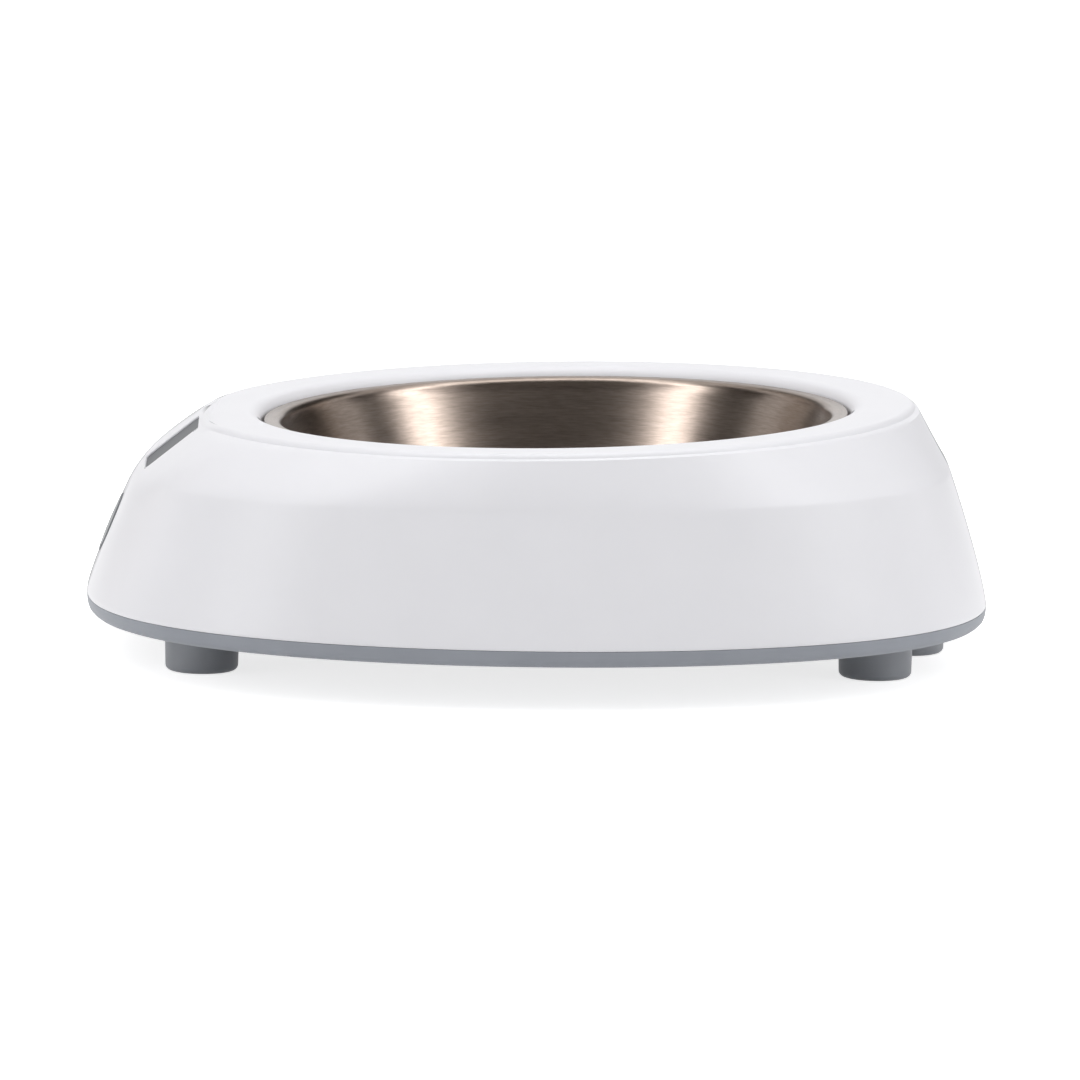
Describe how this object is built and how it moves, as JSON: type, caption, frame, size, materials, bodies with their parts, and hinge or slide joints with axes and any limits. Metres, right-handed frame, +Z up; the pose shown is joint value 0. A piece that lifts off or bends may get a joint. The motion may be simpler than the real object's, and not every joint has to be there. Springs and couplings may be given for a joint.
{
  "type": "weighing pet bowl",
  "caption": "White pet food bowl with a removable brushed steel dish, a built-in weighing plate, a sloped display window, a front push button and a grey base on rubber feet.",
  "frame": {"origin": "on the floor under the middle of the base", "axes": "+X to the raised back of the ring, -X the side with display and button, +Z up"},
  "size_m": [0.2, 0.177, 0.0566],
  "materials": {
    "white_shell": "smooth glossy moulding",
    "grey_shell": "fine matt moulding",
    "foot_rubber": "dull moulded rubber",
    "bowl_steel": "fine brushing round the bowl",
    "cell_aluminium": "milled bar",
    "tray_plastic": "smooth matt moulding",
    "lens_dark": "smooth tinted lens",
    "display_face": "smooth glass face",
    "ring_grey": "fine matt moulding",
    "button_grey": "satin moulding",
    "board": "coated laminate",
    "chip": "moulded resin",
    "socket": "plain moulding",
    "battery_wrap": "plain wrapped can",
    "contact": "plated spring metal",
    "lead": "soft insulation",
    "screw_steel": "zinc plated"
  },
  "bodies": {
    "base": {"top_housing": "white_shell", "base_cover": "grey_shell", "foot_front_left": "foot_rubber", "foot_front_right": "foot_rubber", "foot_rear_left": "foot_rubber", "foot_rear_right": "foot_rubber", "foot_rear_centre": "foot_rubber", "housing_screw_1": "screw_steel", "housing_screw_2": "screw_steel", "housing_screw_3": "screw_steel", "housing_screw_4": "screw_steel", "load_cell": "cell_aluminium", "cell_screw_1": "screw_steel", "cell_screw_2": "screw_steel", "display_window": "lens_dark", "display_frame": "grey_shell", "display_module": "display_face", "display_board": "board", "display_board_screw_1": "screw_steel", "display_board_screw_2": "screw_steel", "button_ring": "ring_grey", "button_switch": "chip", "button_board": "board", "button_board_screw_1": "screw_steel", "button_board_screw_2": "screw_steel", "main_board": "board", "main_board_screw_1": "screw_steel", "main_board_screw_2": "screw_steel", "controller_chip": "chip", "weighing_chip": "chip", "buffer_capacitor": "chip", "display_socket": "socket", "battery_socket": "socket", "sensor_socket": "socket", "battery_cell_1": "battery_wrap", "battery_cell_2": "battery_wrap", "battery_spring_1": "contact", "battery_spring_2": "contact", "battery_link_plate": "contact", "battery_minus_plate": "contact", "battery_plus_plate": "contact", "sensor_cable": "lead", "battery_cable": "lead", "display_cable": "lead", "button_cable": "lead"},
    "tray": {"weigh_tray": "tray_plastic", "tray_pad_1": "foot_rubber", "tray_pad_2": "foot_rubber", "tray_pad_3": "foot_rubber", "tray_screw_1": "screw_steel", "tray_screw_2": "screw_steel"},
    "bowl": {"steel_bowl": "bowl_steel"},
    "button": {"button_cap": "button_grey", "switch_plunger": "chip"},
    "door": {"battery_door": "grey_shell"}
  },
  "joints": [
    {"name": "weigh_travel", "type": "slide", "parent": "base", "child": "tray", "axis": [0, 0, -1], "range_m": [0, 0.0005], "stiffness_N_per_m": 20000, "deforming": ["load_cell"]},
    {"name": "bowl_lift", "type": "slide", "parent": "tray", "child": "bowl", "axis": [-0.026, 0, 0.9997], "range_m": [0, 0.06]},
    {"name": "button_press", "type": "slide", "parent": "base", "child": "button", "axis": [0.9251, 0, -0.3798], "range_m": [0, 0.0006], "stiffness_N_per_m": 1500},
    {"name": "battery_door_hinge", "type": "hinge", "parent": "base", "child": "door", "pos_m": [0, 0.0593, 0.0095], "axis": [-1, 0, 0], "range_deg": [0, 80]}
  ]
}
